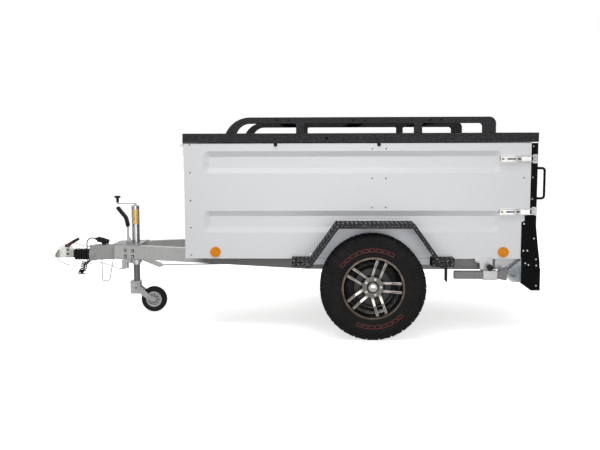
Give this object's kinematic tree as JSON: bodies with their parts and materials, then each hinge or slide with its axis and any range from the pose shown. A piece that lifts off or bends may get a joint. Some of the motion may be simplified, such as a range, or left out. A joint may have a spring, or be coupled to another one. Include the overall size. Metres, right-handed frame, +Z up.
{
  "type": "off-road utility trailer",
  "caption": "Single-axle off-road box trailer with pressed-rib sides, hinged lid and roof rack, drop tailgate, trapezoid fenders, V drawbar, ball coupling, jockey wheel and rear prop stands.",
  "frame": {"origin": "on the ground under the centre of the bounding box", "axes": "+X forward to the coupling, +Y to the trailer's left, +Z up"},
  "size_m": [3.518, 1.79, 1.447],
  "materials": {
    "galvanised": "hot-dip galvanised sheet",
    "chassis_steel": "dull galvanised steel",
    "black_coat": "textured black powder coat",
    "black_plate": "black tread plate",
    "zinc": "bright zinc",
    "floor_board": "film-faced plywood",
    "rubber": "matt rubber",
    "tyre": "tyre rubber",
    "gunmetal": "gunmetal with machined edges",
    "silver": "bright silver",
    "cast": "dark cast iron",
    "amber": "amber reflector",
    "lamp_red": "red lamp",
    "red_lever": "dark red paint",
    "black_plastic": "matt black plastic",
    "grey_plastic": "grey moulded plastic",
    "coupling_grey": "grey cast coupling"
  },
  "bodies": {
    "chassis": {"chassis_beams": "chassis_steel", "cross_members": "chassis_steel", "floor": "floor_board", "side_panel_left": "galvanised", "side_panel_right": "galvanised", "front_panel": "galvanised", "rim_seal": "rubber", "sills": "galvanised", "hinge_bases": "zinc", "rear_bar": "chassis_steel", "fenders": "black_plate", "steps": "black_plate", "mud_flaps": "rubber", "light_guards": "black_coat", "rear_lamps": "lamp_red", "brackets": "chassis_steel", "reflectors": "amber", "latch_levers": "zinc", "axle": "chassis_steel", "backing_plates": "galvanised", "head_plates": "chassis_steel", "overrun_housing": "coupling_grey", "tow_head": "coupling_grey", "bellows": "rubber", "tow_lever": "red_lever", "grips": "black_plastic", "handbrake_lever": "zinc", "jockey_tube": "zinc", "brake_rod": "chassis_steel", "fender_lips": "black_plate", "safety_loop": "zinc", "plug": "black_plastic", "plug_holder": "black_plastic", "plug_cable": "rubber", "plug_coil": "rubber", "breakaway_cable": "zinc"},
    "lid": {"lid_frame": "black_coat", "lid_sheet": "black_coat", "lid_hinges": "zinc", "rack_rails": "black_coat", "crossbars": "black_coat"},
    "tailgate": {"tailgate_frame": "black_coat", "tailgate_sheet": "galvanised", "gate_fittings": "zinc"},
    "jockey_slider": {"jockey_inner": "zinc"},
    "jockey_caster": {"jockey_fork": "zinc"},
    "jockey_roller": {"jockey_wheel": "grey_plastic", "jockey_tyre": "rubber"},
    "wheel_left": {"rim_left": "gunmetal", "tyre_left": "tyre", "hub_cap_left": "silver", "brake_drum_left": "cast"},
    "prop_swivel_left": {"prop_clamp_left": "chassis_steel"},
    "prop_slider_left": {"prop_leg_left": "chassis_steel"},
    "wheel_right": {"rim_right": "gunmetal", "tyre_right": "tyre", "hub_cap_right": "silver", "brake_drum_right": "cast"},
    "prop_swivel_right": {"prop_clamp_right": "chassis_steel"},
    "prop_slider_right": {"prop_leg_right": "chassis_steel"}
  },
  "joints": [
    {"name": "wheel_spin_left", "type": "hinge", "parent": "chassis", "child": "wheel_left", "pos_m": [-0.61, 0.778, 0.344], "axis": [0, 1, 0], "continuous": true},
    {"name": "wheel_spin_right", "type": "hinge", "parent": "chassis", "child": "wheel_right", "pos_m": [-0.61, -0.778, 0.344], "axis": [0, 1, 0], "continuous": true},
    {"name": "lid_hinge", "type": "hinge", "parent": "chassis", "child": "lid", "pos_m": [0.655, 0, 1.262], "axis": [0, 1, 0], "range_deg": [0, 60]},
    {"name": "tailgate_hinge", "type": "hinge", "parent": "chassis", "child": "tailgate", "pos_m": [-1.714, 0, 0.524], "axis": [0, -1, 0], "range_deg": [0, 90]},
    {"name": "jockey_slide", "type": "slide", "parent": "chassis", "child": "jockey_slider", "axis": [0, 0, 1], "range_m": [-0.08, 0.12]},
    {"name": "jockey_caster", "type": "hinge", "parent": "jockey_slider", "child": "jockey_caster", "pos_m": [1.133, 0, 0.24], "axis": [0, 0, 1], "continuous": true},
    {"name": "jockey_spin", "type": "hinge", "parent": "jockey_caster", "child": "jockey_roller", "pos_m": [1.003, 0, 0.097], "axis": [0, 1, 0], "continuous": true},
    {"name": "prop_swing_left", "type": "hinge", "parent": "chassis", "child": "prop_swivel_left", "pos_m": [-1.389, 0.687, 0.405], "axis": [0, -1, 0], "range_deg": [0, 90]},
    {"name": "prop_slide_left", "type": "slide", "parent": "prop_swivel_left", "child": "prop_slider_left", "axis": [-1, 0, 0], "range_m": [0, 0.18]},
    {"name": "prop_swing_right", "type": "hinge", "parent": "chassis", "child": "prop_swivel_right", "pos_m": [-1.389, -0.687, 0.405], "axis": [0, -1, 0], "range_deg": [0, 90]},
    {"name": "prop_slide_right", "type": "slide", "parent": "prop_swivel_right", "child": "prop_slider_right", "axis": [-1, 0, 0], "range_m": [0, 0.18]}
  ]
}
